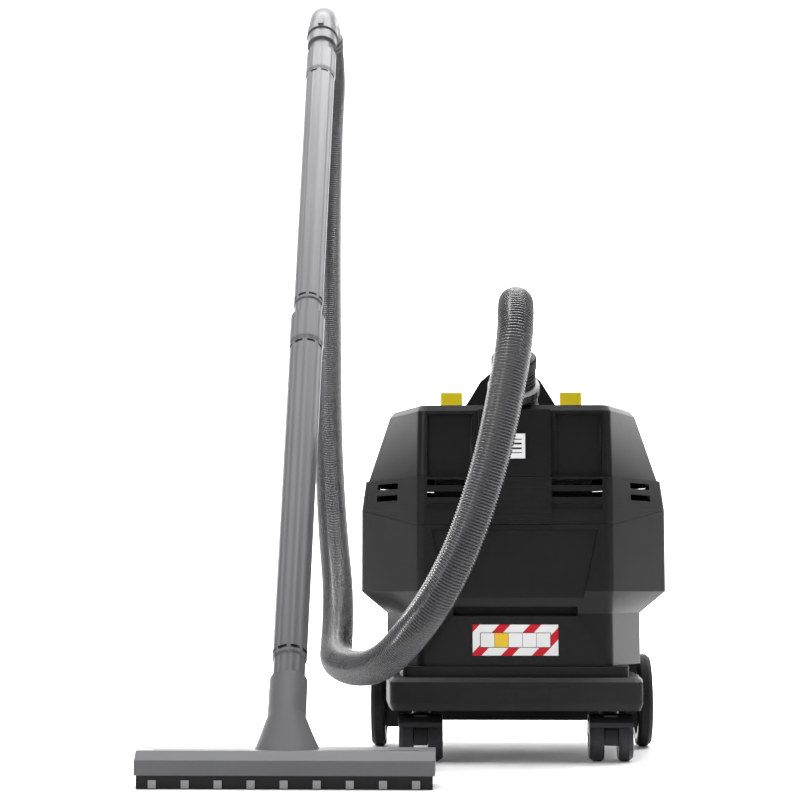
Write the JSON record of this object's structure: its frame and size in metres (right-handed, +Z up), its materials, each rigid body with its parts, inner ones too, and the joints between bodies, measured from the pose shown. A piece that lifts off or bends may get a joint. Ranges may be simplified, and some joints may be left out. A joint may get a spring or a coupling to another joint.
{
  "type": "wet and dry vacuum cleaner",
  "caption": "Tub vacuum cleaner on wheels with a latched motor head, corrugated suction hose, wand with elbow and wide floor nozzle.",
  "frame": {"origin": "on the floor, under the middle of the rigid object (machine, wand and nozzle, without the hose)", "axes": "+Z up, the machine's front and the nozzle face -Y, +X to the right seen from the front"},
  "size_m": [0.5782, 1.0048, 1.0561],
  "materials": {
    "tub_plastic": "fine grain",
    "head_plastic": "fine grain",
    "trolley_plastic": "fine grain",
    "caster_plastic": "satin",
    "tyre": "matt",
    "wheel_plastic": "satin",
    "steel": "satin",
    "yellow_plastic": "semi-gloss",
    "accessory_grey": "satin",
    "hose_grey": "semi-gloss",
    "rubber": "matt",
    "white_plate": "printed",
    "red_white_plate": "printed",
    "filter_paper": "pleated",
    "foam": "open cell",
    "motor_metal": "cast",
    "inner_plastic": "satin",
    "copper_pack": "wound"
  },
  "bodies": {
    "tub": {"base_trolley": "trolley_plastic", "base_screws": "steel", "rear_axle": "steel", "container": "tub_plastic", "rim_gasket": "rubber", "striped_plate": "red_white_plate", "latch_pins": "steel"},
    "head": {"head_lower_housing": "head_plastic", "head_upper_cover": "head_plastic", "head_screws": "steel", "badge_plate": "white_plate", "carry_handle": "head_plastic", "lid_hinge_pin": "head_plastic", "flat_filter": "filter_paper", "filter_tray": "inner_plastic", "motor_housing": "inner_plastic", "motor_stator": "copper_pack", "motor_bearings": "steel", "float_cage": "inner_plastic", "inlet_duct": "inner_plastic", "exhaust_foam": "foam", "switch_box": "inner_plastic", "button_guide": "inner_plastic", "button_spring": "steel", "cable_gland": "rubber", "cable_hook": "head_plastic", "hose_port": "caster_plastic", "hose_sleeve": "caster_plastic", "suction_hose": "hose_grey", "elbow_cuff": "caster_plastic", "wand_elbow": "accessory_grey"},
    "filter_lid": {"filter_lid": "head_plastic"},
    "rotor": {"motor_rotor": "motor_metal"},
    "float": {"float_ball": "yellow_plastic"},
    "knob": {"power_knob": "wheel_plastic"},
    "button": {"filter_clean_button": "yellow_plastic"},
    "port_ring": {"port_ring": "accessory_grey"},
    "air_slide": {"air_slide": "accessory_grey"},
    "upper_tube": {"upper_tube": "accessory_grey"},
    "lower_tube": {"lower_tube": "accessory_grey"},
    "nozzle": {"nozzle_body": "accessory_grey", "sole_plate": "accessory_grey", "front_strip": "rubber", "rear_strip": "rubber", "roller_pins": "steel"},
    "nozzle_rollers": {"nozzle_rollers": "caster_plastic"},
    "latch_left": {"latch_left": "wheel_plastic"},
    "rear_wheel_left": {"rear_wheel_left": "wheel_plastic", "rear_tyre_left": "tyre"},
    "caster_left": {"caster_hood_left": "caster_plastic", "caster_pins_left": "steel"},
    "caster_wheels_left": {"caster_wheels_left": "tyre"},
    "lid_catch_left": {"lid_catch_left": "yellow_plastic"},
    "latch_right": {"latch_right": "wheel_plastic"},
    "rear_wheel_right": {"rear_wheel_right": "wheel_plastic", "rear_tyre_right": "tyre"},
    "caster_right": {"caster_hood_right": "caster_plastic", "caster_pins_right": "steel"},
    "caster_wheels_right": {"caster_wheels_right": "tyre"},
    "lid_catch_right": {"lid_catch_right": "yellow_plastic"}
  },
  "joints": [
    {"name": "head_lift", "type": "slide", "parent": "tub", "child": "head", "axis": [0, 0, 1], "range_m": [0, 0.15]},
    {"name": "filter_lid_hinge", "type": "hinge", "parent": "head", "child": "filter_lid", "pos_m": [0.10145, -0.04113, 0.4202], "axis": [1, 0, 0], "range_deg": [0, 95]},
    {"name": "motor_spin", "type": "hinge", "parent": "head", "child": "rotor", "pos_m": [0.10145, 0.11947, 0.34], "axis": [0, 0, 1], "continuous": true},
    {"name": "float_rise", "type": "slide", "parent": "head", "child": "float", "axis": [0, 0, 1], "range_m": [0, 0.012]},
    {"name": "power_turn", "type": "hinge", "parent": "head", "child": "knob", "pos_m": [0.20145, 0.11947, 0.42], "axis": [0, 0, -1], "range_deg": [0, 90]},
    {"name": "clean_press", "type": "slide", "parent": "head", "child": "button", "axis": [0, 0, -1], "range_m": [0, 0.004], "stiffness_N_per_m": 400, "springref_m": -0.004, "deforming": ["button_spring"]},
    {"name": "port_ring_turn", "type": "hinge", "parent": "head", "child": "port_ring", "pos_m": [0.10145, -0.08253, 0.418], "axis": [0, -0.5736, 0.8192], "range_deg": [0, 30]},
    {"name": "air_slide_turn", "type": "hinge", "parent": "head", "child": "air_slide", "pos_m": [-0.15978, 0.29913, 0.95433], "axis": [-0.0165, 0.6157, 0.7878], "range_deg": [0, 40]},
    {"name": "upper_tube_pull", "type": "slide", "parent": "head", "child": "upper_tube", "axis": [0.0165, -0.6157, -0.7878], "range_m": [0, 0.044]},
    {"name": "lower_tube_pull", "type": "slide", "parent": "upper_tube", "child": "lower_tube", "axis": [0.0165, -0.6157, -0.7878], "range_m": [0, 0.044]},
    {"name": "nozzle_pull", "type": "slide", "parent": "lower_tube", "child": "nozzle", "axis": [0.0165, -0.6157, -0.7878], "range_m": [0, 0.044]},
    {"name": "roller_spin", "type": "hinge", "parent": "nozzle", "child": "nozzle_rollers", "pos_m": [-0.13855, -0.36973, 0.009], "axis": [1, 0, 0], "continuous": true},
    {"name": "latch_left_hinge", "type": "hinge", "parent": "tub", "child": "latch_left", "pos_m": [-0.08335, 0.08347, 0.256], "axis": [0, -1, 0], "range_deg": [0, 100]},
    {"name": "rear_wheel_left_spin", "type": "hinge", "parent": "tub", "child": "rear_wheel_left", "pos_m": [-0.07055, 0.14147, 0.059], "axis": [1, 0, 0], "continuous": true},
    {"name": "caster_left_swivel", "type": "hinge", "parent": "tub", "child": "caster_left", "pos_m": [-0.00955, -0.07753, 0.06], "axis": [0, 0, 1], "continuous": true},
    {"name": "caster_left_spin", "type": "hinge", "parent": "caster_left", "child": "caster_wheels_left", "pos_m": [-0.00955, -0.09553, 0.025], "axis": [1, 0, 0], "continuous": true},
    {"name": "lid_catch_left_flip", "type": "hinge", "parent": "filter_lid", "child": "lid_catch_left", "pos_m": [0.02645, 0.02947, 0.4235], "axis": [1, 0, 0], "range_deg": [0, 65]},
    {"name": "latch_right_hinge", "type": "hinge", "parent": "tub", "child": "latch_right", "pos_m": [0.28625, 0.08347, 0.256], "axis": [0, 1, 0], "range_deg": [0, 100]},
    {"name": "rear_wheel_right_spin", "type": "hinge", "parent": "tub", "child": "rear_wheel_right", "pos_m": [0.27345, 0.14147, 0.059], "axis": [1, 0, 0], "continuous": true},
    {"name": "caster_right_swivel", "type": "hinge", "parent": "tub", "child": "caster_right", "pos_m": [0.21245, -0.07753, 0.06], "axis": [0, 0, 1], "continuous": true},
    {"name": "caster_right_spin", "type": "hinge", "parent": "caster_right", "child": "caster_wheels_right", "pos_m": [0.21245, -0.09553, 0.025], "axis": [1, 0, 0], "continuous": true},
    {"name": "lid_catch_right_flip", "type": "hinge", "parent": "filter_lid", "child": "lid_catch_right", "pos_m": [0.17645, 0.02947, 0.4235], "axis": [1, 0, 0], "range_deg": [0, 65]}
  ]
}
